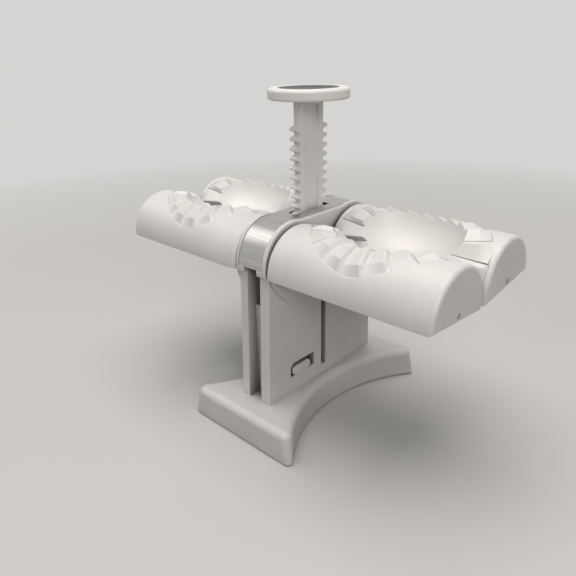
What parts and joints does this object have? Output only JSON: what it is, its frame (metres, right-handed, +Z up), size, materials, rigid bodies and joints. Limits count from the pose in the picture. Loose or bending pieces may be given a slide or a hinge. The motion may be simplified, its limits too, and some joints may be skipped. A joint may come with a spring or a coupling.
{
  "type": "dumpling press",
  "caption": "Tabletop press that folds and crimps filled dumplings between half rollers on both sides of a column, driven by a push-down rack bar with a round knob.",
  "frame": {"origin": "on the table under the middle of the base", "axes": "+X along the right-hand arm, +Y to the back, +Z up"},
  "size_m": [0.25, 0.148, 0.2185],
  "materials": {
    "white_plastic": "satin",
    "gear_plastic": "satin",
    "cover_steel": "brushed across",
    "inlay_plastic": "gloss",
    "foot_rubber": "matt",
    "screw_steel": "zinc plated",
    "shaft_steel": "drawn bar"
  },
  "bodies": {
    "stand": {"base": "white_plastic", "rubber_feet": "foot_rubber", "base_screws": "screw_steel", "left_panel": "white_plastic", "right_panel": "white_plastic", "side_screws": "screw_steel", "top_cover": "cover_steel"},
    "plunger": {"rack_bar": "white_plastic", "press_knob": "white_plastic", "knob_inlay": "inlay_plastic", "knob_screws": "screw_steel", "foot_pin": "shaft_steel"},
    "front_rollers": {"front_right_mould": "white_plastic", "front_left_mould": "white_plastic", "front_gear": "gear_plastic", "front_axle": "shaft_steel", "front_mould_screws": "screw_steel", "front_mould_washers": "screw_steel"},
    "rear_rollers": {"rear_left_mould": "white_plastic", "rear_right_mould": "white_plastic", "rear_gear": "gear_plastic", "rear_axle": "shaft_steel", "rear_mould_screws": "screw_steel", "rear_mould_washers": "screw_steel"},
    "lock": {"lock_slider": "white_plastic"}
  },
  "joints": [
    {"name": "plunger_slide", "type": "slide", "parent": "stand", "child": "plunger", "axis": [0, 0, -1], "range_m": [0, 0.068]},
    {"name": "front_roll", "type": "hinge", "parent": "stand", "child": "front_rollers", "pos_m": [0, -0.02936, 0.11457], "axis": [-1, 0, 0], "range_deg": [0, 241.3]},
    {"name": "rear_roll", "type": "hinge", "parent": "stand", "child": "rear_rollers", "pos_m": [0, 0.02936, 0.11457], "axis": [1, 0, 0], "range_deg": [0, 241.3]},
    {"name": "lock_slide", "type": "slide", "parent": "stand", "child": "lock", "axis": [0, 1, 0], "range_m": [0, 0.004]}
  ],
  "couplings": [
    {"joint": "front_roll", "follows": "plunger_slide", "rad_per_m": 61.919},
    {"joint": "rear_roll", "follows": "plunger_slide", "rad_per_m": 61.919}
  ]
}
